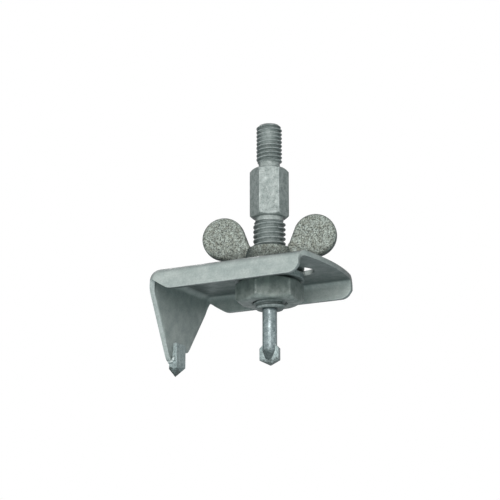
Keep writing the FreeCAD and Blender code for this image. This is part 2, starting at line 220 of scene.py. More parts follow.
def thread_height(z, pitch, start):
    """0 at the root to 1 at the crest of a right-hand thread: with u the distance from the groove
    in turns past its flat, over the flank's width, a blend of u and the smooth step 3u^2 - 2u^3."""
    turn = (z - start) / pitch - world_angle / (2 * np.pi)
    from_groove = np.abs(turn - np.round(turn))
    u = np.clip((from_groove - GROOVE_FLAT) / FLANK, 0, 1)
    return FLANK_STRAIGHT * u + (1 - FLANK_STRAIGHT) * u * u * (3 - 2 * u)


def ring_grid(r, z, turn):
    """(m, n, 3) points from radius and height arrays, with the first column at the given angle."""
    r, z, a = np.broadcast_arrays(r, z, angle + math.radians(turn))
    return np.stack([r * np.cos(a), r * np.sin(a), z], -1)


def clogged(height, z, middle, reach, share):
    """Thread height drawn to one level, grooves filled and crests rubbed down, by a share that
    falls off round the bar as exp(-a^2) and along it as exp(-b^4) from the patch's middle."""
    a = np.angle(np.exp(1j * (world_angle - WORN_ANGLE))) / WORN_SPREAD
    b = (z - middle) / reach
    return height + (WORN_HEIGHT - height) * share * np.exp(-a ** 2) * np.exp(-b ** 4)


def stacked(*runs):
    """Radius, height and edge mask of several runs of rings, one below the other."""
    return [np.vstack([np.broadcast_to(run[k], run[0].shape) for run in runs]) for k in range(3)]


def stud_rings():
    """Stud from its top down to the hexagon: chamfered thread, then a neck with a fillet. Rows of
    the neck are (height, extra radius)."""
    z = np.linspace(STUD_TOP - 0.02, STUD_THREAD_END - 0.05, STUD_ROWS)
    z = np.append(STUD_TOP, z)[:, None]
    height = thread_height(z, STUD_PITCH, STUD_THREAD_END)
    height = clogged(height, z, STUD_WORN_Z, STUD_WORN_REACH, STUD_WORN_SHARE)
    r = STUD_ROOT_R + (STUD_CREST_R - STUD_ROOT_R) * height
    top = STUD_CREST_R - STUD_CHAMFER + (STUD_TOP - z)
    foot = STUD_ROOT_R + np.maximum(z - STUD_THREAD_END, 0.0)
    r = np.minimum(np.minimum(r, top), foot)
    neck = np.array([(1.0, 0.0), (0.35, 0.0), (0.1, 0.06), (0.0, 0.25)])
    neck_r = STUD_ROOT_R + neck[:, 1:] + 0 * angle
    return stacked((r, z, height), (neck_r, neck[:, :1], PLAIN_EDGE))


def hex_rings(flat_r, top, bottom):
    """Hexagon bar from its top to its bottom face; each end is chamfered by a 30-degree cone. The
    edge mask rises from a half on the flats to 1 at the corners."""
    corner_r = flat_r / math.cos(math.radians(30))
    last = (corner_r - CHAMFER_SHARE * flat_r) * CHAMFER_RISE + 0.25
    depth = CHAMFER_DEPTHS[CHAMFER_DEPTHS < last][:, None]
    bar = hexagon_r(angle, flat_r)
    end = round_min([CHAMFER_SHARE * flat_r + depth / CHAMFER_RISE, bar], CHAMFER_SHARPNESS)
    z_middle = np.linspace(top - depth[-1, 0], bottom + depth[-1, 0], HEX_MIDDLE_RINGS + 2)
    r = np.vstack([end, np.repeat(bar[None], HEX_MIDDLE_RINGS, 0), end[::-1]])
    z = np.vstack([top - depth, z_middle[1:-1, None], bottom + depth[::-1]])
    near_corner = 1.09 * flat_r
    rise = np.clip((r - near_corner) / (hexagon_r(0.0, flat_r) - near_corner), 0, 1)
    return r, z, 0.5 + 0.5 * rise ** 2


def arbor_rings():
    """Arbor from the neck under the hexagon down to its end face and up into the pilot's bore.
    Rows of the neck and the bore are (height, extra radius)."""
    neck = np.array([(HEX_BOTTOM, 0.3), (HEX_BOTTOM - 0.12, 0.08), (HEX_BOTTOM - 0.4, 0),
                     (ARBOR_THREAD_START + 0.4, 0)])
    bore = np.array([(ARBOR_END, 0.2), (ARBOR_END + 0.15, 0), (PILOT_BORE_TOP, 0)])
    z = np.linspace(ARBOR_THREAD_START + 0.1, ARBOR_END, ARBOR_ROWS)[:, None]
    height = thread_height(z, ARBOR_PITCH, ARBOR_END - ARBOR_PITCH)
    height = clogged(height, z, ARBOR_WORN_Z, ARBOR_WORN_REACH, ARBOR_WORN_SHARE)
    r = ARBOR_ROOT_R + (ARBOR_CREST_R - ARBOR_ROOT_R) * height
    shoulder = ARBOR_NECK_R + np.maximum(ARBOR_THREAD_START - z, 0.0)
    end = ARBOR_CREST_R - ARBOR_CHAMFER + (z - ARBOR_END)
    r = np.minimum(np.minimum(r, shoulder), end)
    return stacked((ARBOR_NECK_R + neck[:, 1:] + 0 * angle, neck[:, :1], PLAIN_EDGE), (r, z, height),
                   (PILOT_BORE_R + bore[:, 1:] + 0 * angle, bore[:, :1], 0.0))


bar_r, bar_z, bar_edge = stacked(stud_rings(), hex_rings(HEX_FLAT_R, 0.0, HEX_BOTTOM), arbor_rings())
on_thread = np.clip(np.maximum(bar_z - STUD_THREAD_END, ARBOR_THREAD_START - bar_z) / 0.3, 0, 1)
spindle = skin("spindle_bar", ring_grid(bar_r, bar_z, HEX_TURN), {"edge": bar_edge, "dull": on_thread})


def effect(name, sockets_in, sockets_out):
    """Shader node group with the named inputs and outputs; returns its tree, input and output nodes."""
    tree = bpy.data.node_groups.new(name, "ShaderNodeTree")
    for label, (kind, value) in sockets_in.items():
        socket = tree.interface.new_socket(label, in_out="INPUT", socket_type="NodeSocket" + kind)
        socket.default_value = value
    for label, kind in sockets_out.items():
        tree.interface.new_socket(label, in_out="OUTPUT", socket_type="NodeSocket" + kind)
    return tree, tree.nodes.new("NodeGroupInput"), tree.nodes.new("NodeGroupOutput")


def millimetres(tree):
    """The piece's own coordinates, in millimetres."""
    place = add(tree, "ShaderNodeTexCoord")
    return add(tree, "ShaderNodeVectorMath", operation="SCALE", i0=place.outputs["Object"],
               Scale=1000.0).outputs[0]


# The last tone is the painted shade that faces seen at a grazing angle are mixed towards.
GREY, PORE, PAINTED_SHADE_TONE = (0.5, 0.5, 0.5, 1), (0.02, 0.022, 0.02, 1), (0.02, 0.032, 0.032, 1)

# Mottle: cloudy patches between two tones, with a fine speckle over them.
mottle, given, result = effect(
    "mottle",
    {"Light": ("Color", GREY), "Dark": ("Color", GREY), "Patch": ("Float", 0.4),
     "Speckle": ("Float", 3.0), "Depth": ("Float", 0.2), "Pores": ("Float", 0.0)},
    {"Color": "Color", "Patches": "Float", "Height": "Float"})
where = millimetres(mottle)
cloud = add(mottle, "ShaderNodeTexNoise", Vector=where, Scale=given.outputs["Patch"], Detail=4.0,
            Roughness=0.6)
patches = add(mottle, "ShaderNodeMapRange", Value=cloud.outputs["Fac"], From_Min=0.36, From_Max=0.64)
fine = add(mottle, "ShaderNodeTexNoise", Vector=where, Scale=given.outputs["Speckle"], Detail=3.0,
           Roughness=0.65)
grain = add(mottle, "ShaderNodeMapRange", Value=fine.outputs["Fac"], From_Min=0.3, From_Max=0.7,
            To_Min=-1.0, To_Max=1.0)
swing = add(mottle, "ShaderNodeMath", operation="MULTIPLY_ADD", i0=grain.outputs[0],
            i1=given.outputs["Depth"], i2=1.0)
tone = add(mottle, "ShaderNodeMix", data_type="RGBA", i0=patches.outputs[0],
           i6=given.outputs["Light"], i7=given.outputs["Dark"])
speckled = add(mottle, "ShaderNodeVectorMath", operation="SCALE", i0=tone.outputs[2],
               Scale=swing.outputs[0])
pore = add(mottle, "ShaderNodeMapRange", Value=fine.outputs["Fac"], From_Min=0.42, From_Max=0.32)
pore = add(mottle, "ShaderNodeMath", operation="MULTIPLY", i0=pore.outputs[0], i1=given.outputs["Pores"])
pitted = add(mottle, "ShaderNodeMix", data_type="RGBA", i0=pore.outputs[0], i6=speckled.outputs[0],
             i7=PORE)
mottle.links.new(pitted.outputs[2], result.inputs["Color"])
mottle.links.new(patches.outputs[0], result.inputs["Patches"])
mottle.links.new(fine.outputs["Fac"], result.inputs["Height"])

# Edge wear: where the piece's edge mask is high the plating is rubbed bright, which on the washers'
# rims is a painted highlight; where it is low, or the dull mask is set, the colour is mixed
# towards a dark tone, darkest in the thread roots; noise breaks up the rubbing.
edge_wear_and_glint, given, result = effect(
    "edge_wear_and_glint",
    {"Color": ("Color", GREY), "Rubbed": ("Color", GREY), "Dirt": ("Color", GREY),
     "Rub": ("Float", 0.5), "Soil": ("Float", 0.5), "Dull": ("Float", 0.5)}, {"Color": "Color"})
rim = add(edge_wear_and_glint, "ShaderNodeAttribute", attribute_name="edge")
scratch = add(edge_wear_and_glint, "ShaderNodeTexNoise", Vector=millimetres(edge_wear_and_glint), Scale=1.6, Detail=4.0,
              Roughness=0.7)
broken = add(edge_wear_and_glint, "ShaderNodeMapRange", Value=scratch.outputs["Fac"], From_Min=0.34, From_Max=0.6)
high = add(edge_wear_and_glint, "ShaderNodeMapRange", Value=rim.outputs["Fac"], From_Min=0.62, From_Max=1.0)
rubbed = add(edge_wear_and_glint, "ShaderNodeMath", operation="MULTIPLY", i0=high.outputs[0], i1=broken.outputs[0])
rubbed = add(edge_wear_and_glint, "ShaderNodeMath", operation="MULTIPLY", i0=rubbed.outputs[0],
             i1=given.outputs["Rub"])
low = add(edge_wear_and_glint, "ShaderNodeMapRange", Value=rim.outputs["Fac"], From_Min=0.45, From_Max=0.0)
darkened = add(edge_wear_and_glint, "ShaderNodeMath", operation="MULTIPLY", i0=low.outputs[0],
             i1=given.outputs["Soil"])
dull = add(edge_wear_and_glint, "ShaderNodeAttribute", attribute_name="dull")
darkened = add(edge_wear_and_glint, "ShaderNodeMath", operation="MULTIPLY_ADD", use_clamp=True,
             i0=dull.outputs["Fac"], i1=given.outputs["Dull"], i2=darkened.outputs[0])
dirty = add(edge_wear_and_glint, "ShaderNodeMix", data_type="RGBA", i0=darkened.outputs[0],
            i6=given.outputs["Color"], i7=given.outputs["Dirt"])
worn = add(edge_wear_and_glint, "ShaderNodeMix", data_type="RGBA", i0=rubbed.outputs[0], i6=dirty.outputs[2],
           i7=given.outputs["Rubbed"])
edge_wear_and_glint.links.new(worn.outputs[2], result.inputs["Color"])

# Tool marks: fine lines drawn out along one axis, as turning, drawing or grinding leaves them.
tool_marks, given, result = effect(
    "tool_marks", {"Color": ("Color", GREY), "Stretch": ("Vector", (1, 1, 1)), "Depth": ("Float", 0.1)},
    {"Color": "Color", "Height": "Float"})
drawn = add(tool_marks, "ShaderNodeVectorMath", operation="MULTIPLY", i0=millimetres(tool_marks),
            i1=given.outputs["Stretch"])
lines = add(tool_marks, "ShaderNodeTexNoise", Vector=drawn.outputs[0], Scale=1.0, Detail=3.0,
            Roughness=0.6)
shade = add(tool_marks, "ShaderNodeMapRange", Value=lines.outputs["Fac"], From_Min=0.3, From_Max=0.7,
            To_Min=-1.0, To_Max=1.0)
swing = add(tool_marks, "ShaderNodeMath", operation="MULTIPLY_ADD", i0=shade.outputs[0],
            i1=given.outputs["Depth"], i2=1.0)
lined = add(tool_marks, "ShaderNodeVectorMath", operation="SCALE", i0=given.outputs["Color"],
            Scale=swing.outputs[0])
tool_marks.links.new(lined.outputs[0], result.inputs["Color"])
tool_marks.links.new(lines.outputs["Fac"], result.inputs["Height"])


# Darker below: below a height the colour is mixed towards a dark tone, with a border broken up
# by noise. On the carbide pieces this is painted shade on the facets that face down.
darker_below, given, result = effect(
    "darker_below", {"Color": ("Color", GREY), "Dark": ("Color", GREY), "Start": ("Float", 0.0),
              "Full": ("Float", -1.0), "Share": ("Float", 0.0)}, {"Color": "Color"})
place = millimetres(darker_below)
smoke = add(darker_below, "ShaderNodeTexNoise", Vector=place, Scale=0.9, Detail=4.0, Roughness=0.7)
ragged = add(darker_below, "ShaderNodeMapRange", Value=smoke.outputs["Fac"], From_Min=0.3, From_Max=0.7,
             To_Min=-1.4, To_Max=1.4)
level = add(darker_below, "ShaderNodeSeparateXYZ", i0=place)
level = add(darker_below, "ShaderNodeMath", operation="ADD", i0=level.outputs["Z"], i1=ragged.outputs[0])
darkened_below = add(darker_below, "ShaderNodeMapRange", i0=level.outputs[0], i1=given.outputs["Start"],
              i2=given.outputs["Full"])
darkened_below = add(darker_below, "ShaderNodeMath", operation="MULTIPLY", i0=darkened_below.outputs[0],
              i1=given.outputs["Share"])
darkened_below = add(darker_below, "ShaderNodeMix", data_type="RGBA", i0=darkened_below.outputs[0], i6=given.outputs["Color"],
              i7=given.outputs["Dark"])
darker_below.links.new(darkened_below.outputs[2], result.inputs["Color"])


def tinted(*rgb):
    """Linear colour from 0-255 screen values."""
    return tuple(((v / 255 + 0.055) / 1.055) ** 2.4 for v in rgb) + (1,)


def metal(name, light, dark, rubbed, darkening_and_shade, patch, speckle, depth, stretch, mark, metallic, gloss,
          grain, rub=0.0, soil=0.0, dull=0.0, pores=0.0, grazing_shade=0.7, darkened_below=(0.0, -1.0, 0.0)):
    """Plated or bare metal: mottle, then tool marks, edge wear and darkening below a height. gloss is
    the roughness of the light and of the dark patches, grain the height of the surface grain in
    millimetres, and the last argument the darkening's start and full heights and its share. Faces
    seen at a grazing angle are painted darker, a painted shade, by the grazing-shade share."""
    material = bpy.data.materials.new(name)
    material.use_nodes = True
    tree = material.node_tree
    shader = tree.nodes["Principled BSDF"]
    shader.inputs["Metallic"].default_value = metallic
    base = add(tree, "ShaderNodeGroup", node_tree=mottle, Light=tinted(*light), Dark=tinted(*dark),
               Patch=patch, Speckle=speckle, Depth=depth, Pores=pores)
    marks = add(tree, "ShaderNodeGroup", node_tree=tool_marks, Color=base.outputs["Color"],
                Stretch=stretch, Depth=mark)
    edges = add(tree, "ShaderNodeGroup", node_tree=edge_wear_and_glint, Color=marks.outputs["Color"],
                Rubbed=tinted(*rubbed), Dirt=tinted(*darkening_and_shade), Rub=rub, Soil=soil, Dull=dull)
    marked = add(tree, "ShaderNodeGroup", node_tree=darker_below, Color=edges.outputs["Color"],
                 Dark=tinted(*darkening_and_shade), Start=darkened_below[0], Full=darkened_below[1], Share=darkened_below[2])
    # Painted shade: faces seen at a grazing angle are mixed towards a dark tone.
    slant = add(tree, "ShaderNodeLayerWeight", Blend=0.5)
    painted_grazing_shade = add(tree, "ShaderNodeMapRange", Value=slant.outputs["Facing"], From_Min=0.35,
                      From_Max=0.85, To_Max=grazing_shade)
    shaded = add(tree, "ShaderNodeMix", data_type="RGBA", i0=painted_grazing_shade.outputs[0],
                 i6=marked.outputs["Color"], i7=PAINTED_SHADE_TONE)
    tree.links.new(shaded.outputs[2], shader.inputs["Base Color"])
    shader.inputs["Specular IOR Level"].default_value = 0.3
    rough = add(tree, "ShaderNodeMapRange", Value=base.outputs["Patches"], To_Min=gloss[0], To_Max=gloss[1])
    tree.links.new(rough.outputs[0], shader.inputs["Roughness"])
    relief = add(tree, "ShaderNodeMath", operation="ADD", i0=base.outputs["Height"],
                 i1=marks.outputs["Height"])
    bump = add(tree, "ShaderNodeBump", Height=relief.outputs[0], Distance=grain * MM, Strength=1.0)
    tree.links.new(bump.outputs[0], shader.inputs["Normal"])
    return material


# Its threads are darker, most in their roots, and its faces seen at a grazing angle get painted shade.
zinc = metal("zinc_plated_bar", (174, 179, 175), (142, 149, 145), (222, 227, 225), (66, 78, 76),
             patch=0.7, speckle=2.8, depth=0.34, stretch=(0.5, 0.5, 7.0), mark=0.08, metallic=0.06,
             gloss=(0.42, 0.58), grain=0.03, rub=0.35, soil=0.22, dull=0.38, pores=0.35, grazing_shade=0.85)
spindle.data.materials.append(zinc)
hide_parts("spindle")
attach(spindle, "spindle")


# Arm: one blank of galvanised sheet, bent down on three sides into a tray, with a tapered leg at
# one end and a long round-ended slot. Its cut edges are bare and a little rounded.
SHEET = 1.5
ARM_TOP, ARM_UNDER = -31.6, -33.1
ARM_HALF, ARM_RIGHT, END_BOW_R = 19.0, 21.1, 78.0
LEG_X, LEG_LEAN = -31.8, math.tan(math.radians(4))
CORNER_R, BEND_R = 3.4, 3.3
FLANGE_LOW, FLANGE_END_R, SLANT_X, SLANT = -38.4, 3.5, -24.2, 4.0 / 6.8
LEG_ROOT, LEG_ROOT_HALF, LEG_END, LEG_END_HALF, LEG_BACK_END = -34.9, 18.2, -57.0, 3.7, -52.9
SLOT_HALF, SLOT_RIGHT, SLOT_LEFT = 5.4, 9.0, -7.5
NOTCH_HALF, NOTCH_TOP, NOTCH_STEP = 2.82, -51.18, 0.001
END_ARC, SLANT_SOFT, LEG_SIDE_X = 0.94, 0.3, -29.9
TIP_CORNER_LIFT, TIP_CORNER_REACH, EDGE_ROUND = 0.28, 0.7, 0.16
FREE_SHARE, FREE_COLUMNS, FLANGE_COLUMNS = 0.085, 7, 56
UPPER_WALL_ROWS, LOWER_WALL_ROWS = 5, 8
# Distances from the free end's middle round the wall, up to half way, and the distances along the
# slot's rim that they are joined to.
WALL_MARKS, RIM_MARKS = [0, 3.2, 9.7, 27.0], [0, 6.7, 15.2, 31.7, 40.16]


def bowed_x(y):
    """Where the arm's free end lies at a distance from its centre line."""
    return ARM_RIGHT - END_BOW_R + np.sqrt(END_BOW_R ** 2 - np.clip(np.abs(y), 0, ARM_HALF) ** 2)


def wall_places():
    """Columns round the tray, from the free end along the front flange, the leg and back: the core
    line's x and y, the plan direction outwards as an angle, and the share of the flange's run."""
    core_y = ARM_HALF - CORNER_R
    crowded = 1 - np.cos(np.linspace(0, np.pi / 2, FREE_COLUMNS))
    run = np.append(1 - FREE_SHARE * crowded[:-1], np.linspace(1 - FREE_SHARE, 0, FLANGE_COLUMNS))
    turn = np.radians(np.linspace(0, 90, 15))[1:-1]
    marks = [-core_y, -NOTCH_HALF - NOTCH_STEP, -NOTCH_HALF, NOTCH_HALF, NOTCH_HALF + NOTCH_STEP, core_y]
    across = np.concatenate([np.linspace(a, b, k) for a, b, k in
                             zip(marks[:-1], marks[1:], (34, 2, 12, 2, 34))])
    across = np.delete(across, np.flatnonzero(np.abs(np.diff(across)) < 1e-9))
    y = np.concatenate([-core_y + 0 * run, -core_y + 0 * turn, across, core_y + 0 * turn,
                        core_y + 0 * run])
    out = np.concatenate([0 * run, turn, np.pi / 2 + 0 * across, np.pi / 2 + turn, np.pi + 0 * run])
    share = np.concatenate([run, 0 * turn, 0 * across, 0 * turn, run[::-1]])
    return np.full(len(y), LEG_X + CORNER_R), y, out, share


def lower_edge(x, y):
    """Height of the tray's lower edge under a point of its wall, seen in plan. An arc that stops
    short of upright ends the flange, its slant starts softly, and the leg's lower corners are
    lifted by a bump that falls off as exp(-d^2)."""
    flange = np.full(len(x), FLANGE_LOW)
    near_end = np.clip(x - (bowed_x(ARM_HALF) - FLANGE_END_R), 0, END_ARC * FLANGE_END_R)
    flange += FLANGE_END_R - np.sqrt(FLANGE_END_R ** 2 - near_end ** 2)
    rise = SLANT * (SLANT_X - x)
    flange += (rise + np.hypot(rise, SLANT_SOFT)) / 2
    taper = (LEG_ROOT_HALF - LEG_END_HALF) / (LEG_ROOT - LEG_END)
    side = LEG_ROOT - (LEG_ROOT_HALF - np.abs(y)) / taper
    bottom = np.where(y < 0, LEG_END, LEG_BACK_END)
    d = (side - bottom) / TIP_CORNER_REACH
    corner = np.maximum(side, bottom) + TIP_CORNER_LIFT * np.exp(-d ** 2)
    leg = np.where(np.abs(y) < LEG_ROOT_HALF, corner, LEG_ROOT)
    low = np.where(x > LEG_X + BEND_R, flange, np.minimum(flange, LEG_ROOT))
    low = np.where(x < LEG_SIDE_X, np.minimum(np.minimum(low, leg), LEG_ROOT), low)
    return np.where(np.abs(y) <= NOTCH_HALF, NOTCH_TOP, low)


def slot_rim(distance):
    """Point at a distance along the line from the free end's middle to the slot and round its
    front half to the slot's other end."""
    lead, arc = ARM_RIGHT - SLOT_RIGHT - SLOT_HALF, SLOT_HALF * np.pi / 2
    straight = SLOT_RIGHT - SLOT_LEFT
    first = np.clip((distance - lead) / SLOT_HALF, 0, np.pi / 2)
    second = np.clip((distance - lead - arc - straight) / SLOT_HALF, 0, np.pi / 2)
    along = np.clip(distance - lead - arc, 0, straight)
    x = (SLOT_RIGHT + SLOT_HALF * np.cos(first) + np.clip(lead - distance, 0, lead)
         - along - SLOT_HALF * np.sin(second))
    y = -SLOT_HALF * np.sin(first) + SLOT_HALF * (1 - np.cos(second))
    return x, y


def arm_surface():
    """Outer skin of the tray. Its first parameter runs round the tray's wall, and its second from the
    slot's rim across the plate, round the bend and down the wall to the cut edge."""
    core_x, core_y, out, share = wall_places()
    n = len(core_x)
    outwards = np.stack([-np.sin(out), -np.cos(out)])
    plan = np.cumsum(np.hypot(np.diff(core_y) + CORNER_R * np.diff(out),
                              (bowed_x(core_y[1:]) - core_x[1:]) * np.diff(share)))
    plan = np.append(0, plan)
    from_end = np.minimum(plan, plan[-1] - plan)
    rim_x, rim_y = slot_rim(np.interp(from_end, WALL_MARKS + [plan[-1] / 2], RIM_MARKS))
    rim_y = np.where(plan > plan[-1] / 2, -rim_y, rim_y)
    levels = []
    bend_start = CORNER_R - BEND_R
    edge_y = core_y + outwards[1] * bend_start
    edge_x = np.where(share > 0, core_x + (bowed_x(edge_y) - core_x) * share,
                      core_x + outwards[0] * bend_start)
    at_end = np.clip(1 - from_end / WALL_MARKS[1], 0, 1)
    for t in np.concatenate([[0, 0.015], np.linspace(0.06, 1, 14)]):
        y = rim_y + (edge_y - rim_y) * t
        chord = ARM_RIGHT + (bowed_x(edge_y) - ARM_RIGHT) * t
        x = rim_x + (edge_x - rim_x) * t + (bowed_x(y) - chord) * at_end
        levels.append((x, y, np.full(n, ARM_TOP)))
    for t in np.radians(np.linspace(0, 90, 9))[1:]:
        off = bend_start + BEND_R * math.sin(t)
        y = core_y + outwards[1] * off
        x = np.where(share > 0, core_x + (bowed_x(y) - core_x) * share, core_x + outwards[0] * off)
        levels.append((x, y, np.full(n, ARM_TOP - BEND_R + BEND_R * math.cos(t))))
    x, y, z = levels[-1]
    low = np.minimum(lower_edge(x, y), z)
    waist = np.where(low > NOTCH_TOP - 0.3, low, NOTCH_TOP)
    for t in np.linspace(0, 1, UPPER_WALL_ROWS + 1)[1:]:
        levels.append((x, y, z + (waist - z) * t))
    for t in np.linspace(0, 1, LOWER_WALL_ROWS + 1)[1:]:
        levels.append((x, y, waist + (low - waist) * t))
    grid = np.stack([np.stack(level, -1) for level in levels])
    leaning = np.where(share > 0, 1 - share, 1) ** 3
    grid[..., 0] -= LEG_LEAN * (ARM_UNDER - grid[..., 2]) * leaning
    return grid


arm_grid = arm_surface()
rows, columns = arm_grid.shape[:2]
i, j = np.meshgrid(np.arange(rows - 1), np.arange(columns - 1), indexing="ij")
arm_faces = np.stack([i * columns + j, i * columns + j + 1, (i + 1) * columns + j + 1,
                      (i + 1) * columns + j], -1)
# The notch's upright sides lie in the narrow step columns of the leg, whose lower faces are left out.
wall_y = arm_grid[-1, :, 1]
middle_y = np.abs(wall_y[:-1] + wall_y[1:]) / 2
left_out = np.zeros((rows - 1, columns - 1), bool)
left_out[-LOWER_WALL_ROWS:] = ((np.abs(middle_y - NOTCH_HALF - NOTCH_STEP / 2) < 0.4 * NOTCH_STEP)
                               & (np.abs(arm_grid[-1, :-1, 0] - LEG_X) < 4))
arm_faces = arm_faces[~left_out].reshape(-1, 4)
arm_mesh = bpy.data.meshes.new("arm_sheet")
arm_mesh.from_pydata((arm_grid.reshape(-1, 3) * MM).tolist(), [], arm_faces.tolist())
to_cut = np.minimum(np.abs(arm_grid[..., 2] - arm_grid[-1, :, 2][None]),
                    np.linalg.norm(arm_grid - arm_grid[:1], axis=-1))
cut_edge = np.exp(-to_cut / 0.5)
arm_mesh.attributes.new("edge", "FLOAT", "POINT").data.foreach_set(
    "value", cut_edge.reshape(-1).astype(np.float32))
arm = shown("arm_sheet", arm_mesh, weld=2.5e-6, sharp=math.radians(50), outwards=False)
if arm.data.polygons[0].normal.z < 0:
    arm.data.flip_normals()
wall = arm.modifiers.new("sheet", "SOLIDIFY")
wall.thickness = SHEET * MM
wall.offset = -1
wall.use_even_offset = True
rounding = arm.modifiers.new("rounded_cuts", "BEVEL")
rounding.width = EDGE_ROUND * MM
rounding.segments = 2
rounding.limit_method = "ANGLE"
rounding.angle_limit = math.radians(50)
# Its faces seen at a grazing angle get strong painted shade.
galvanised = metal("galvanised_sheet", (184, 189, 184), (164, 171, 167), (226, 231, 229), (120, 130, 126),
                   patch=0.3, speckle=2.0, depth=0.12, stretch=(0.12, 2.5, 2.5), mark=0.05,
                   metallic=0.05, gloss=(0.4, 0.55), grain=0.02, rub=0.3, grazing_shade=0.95)
arm.data.materials.append(galvanised)
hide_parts("arm_bracket")
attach(arm, "arm")


# Wing nut: one rough casting, galvanised: a conical hub with two flat round wings that stand up
# and out from it. Its bore is threaded onto the arbor, and cast fillets run round the wings' roots.
WING_TURN, WING_HALF, WING_EDGE_R = 18.0, 2.0, 1.2
LOBE_X, LOBE_Z, LOBE_R = 13.95, -21.4, 6.55
HUB_LOW, HUB_LAND, HUB_TOP, HUB_BASE_R, HUB_TOP_R = -29.996, -29.0, -24.9, 7.7, 6.4
HUB_BORE_R, WING_FOOT_X, WING_FOOT_Z, WING_ROOT_X = 5.0, 8.6, -29.4, 5.7
WING_COLUMNS, FACE_RINGS, RIM_RINGS, FACE_START, FACE_END = 180, 18, 6, 0.04, 0.94
CAST_GRAIN, GRAZING = 0.2, 0.05


def rounded_profile(corners, steps=5):
    """Closed line of (r, z) points round the corners (r, z, radius), each corner an arc."""
    path = []
    for k, (r, z, radius) in enumerate(corners):
        here = np.array([r, z])
        before = np.array(corners[k - 1][:2]) - here
        after = np.array(corners[(k + 1) % len(corners)][:2]) - here
        before, after = before / np.linalg.norm(before), after / np.linalg.norm(after)
        half = math.acos(float(np.clip(before @ after, -1, 1))) / 2
        reach = radius / math.tan(half)
        middle = here + (before + after) / np.linalg.norm(before + after) * radius / math.sin(half)
        for t in np.linspace(0, 1, steps):
            chord = here + before * reach * (1 - t) + after * reach * t - middle
            path.append(middle + chord / np.linalg.norm(chord) * radius)
    return np.array(path)


def finer(path, step):
    """Closed line with points added so that none are further apart than the step."""
    ends = np.roll(path, -1, 0)
    counts = np.ceil(np.linalg.norm(ends - path, axis=1) / step).astype(int).clip(1)
    return np.vstack([a + (b - a) * np.arange(n)[:, None] / n for a, b, n in zip(path, ends, counts)])


def wing_outline(turn):
    """Distance from the lobe's centre to the wing's edge: the lobe, and two straight edges that
    leave it as tangents for the hub's shoulder and foot, cut off inside the hub."""
    reach = np.full(turn.shape, LOBE_R)
    for corner, side in (((WING_ROOT_X, HUB_TOP), -1), ((WING_FOOT_X, WING_FOOT_Z), 1)):
        offset = np.array(corner) - (LOBE_X, LOBE_Z)
        toward, far = math.atan2(offset[1], offset[0]), np.hypot(*offset)
        normal = toward + side * math.acos(LOBE_R / far)
        beyond = np.angle(np.exp(1j * (turn - normal))) * side
        facing = np.cos(turn - normal)
        on_edge = (beyond < 0) & (facing > GRAZING)
        reach = np.where(on_edge, np.maximum(reach, LOBE_R / np.maximum(facing, GRAZING)), reach)
    for normal, distance in ((np.pi, LOBE_X - WING_ROOT_X), (-np.pi / 2, LOBE_Z - WING_FOOT_Z)):
        facing = np.cos(turn - normal)
        cut = np.minimum(reach, distance / np.maximum(facing, GRAZING))
        reach = np.where(facing > GRAZING, cut, reach)
    return reach


def wing_rings(side):
    """Wing as rings round its lobe's centre, from the middle of one face over the rim to the other."""
    turn = np.linspace(0, 2 * np.pi, WING_COLUMNS, endpoint=False)
    share = np.append(np.linspace(FACE_START, FACE_END, FACE_RINGS), np.ones(RIM_RINGS))
    bend = np.append(np.zeros(FACE_RINGS), np.radians(np.linspace(0, 90, RIM_RINGS)))
    inset = WING_EDGE_R * (1 - np.sin(bend))
    depth = WING_HALF - WING_EDGE_R * (1 - np.cos(bend))
    share, inset = np.append(share, share[::-1]), np.append(inset, inset[::-1])
    depth = np.append(-depth, depth[::-1])
    r = share[:, None] * (wing_outline(turn) - inset[:, None])
    x, z = side * (LOBE_X + r * np.cos(turn)), LOBE_Z + r * np.sin(turn)
    y = side * depth[:, None] + 0 * x
    out = math.radians(WING_TURN)
    return np.stack([x * math.cos(out) - y * math.sin(out), x * math.sin(out) + y * math.cos(out), z], -1)


hub_line = finer(rounded_profile([(HUB_BORE_R, HUB_LOW, 0.2), (HUB_BASE_R, HUB_LOW, 0.35),
                                  (HUB_BASE_R, HUB_LAND, 1.2), (HUB_TOP_R, HUB_TOP, 0.5),
                                  (HUB_BORE_R, HUB_TOP, 0.45)]), 0.4)
wing_nut = skin("wing_nut_casting", ring_grid(hub_line[:, :1], hub_line[:, 1:], 0.0), {}, closed=True)
casting = bmesh.new()
casting.from_mesh(wing_nut.data)
for side in (-1, 1):
    wing = skin("wing", wing_rings(side), {})
    casting.from_mesh(wing.data)
    bpy.data.objects.remove(wing)
casting.to_mesh(wing_nut.data)
casting.free()
fused = wing_nut.modifiers.new("one_casting", "REMESH")
fused.mode = "VOXEL"
fused.voxel_size = CAST_GRAIN * MM
fused.use_smooth_shade = True
fillets = wing_nut.modifiers.new("cast_fillets", "SMOOTH")
fillets.factor = 0.5
fillets.iterations = 4
# Its colour is darker towards the bottom, over the hub and the wings' feet, and its faces seen at a grazing
# angle, the wings' rims most, get strong painted shade.
cast_zinc = metal("galvanised_casting", (164, 170, 162), (128, 129, 119), (214, 216, 210), (58, 62, 58),
                  patch=1.0, speckle=2.5, depth=0.95, stretch=(1, 1, 1), mark=0.0, metallic=0.05,
                  gloss=(0.5, 0.7), grain=0.25, pores=0.85, grazing_shade=0.97, darkened_below=(-24.6, -28.6, 0.75))
wing_nut.data.materials.append(cast_zinc)
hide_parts("wing_nut")
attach(wing_nut, "wing_nut")


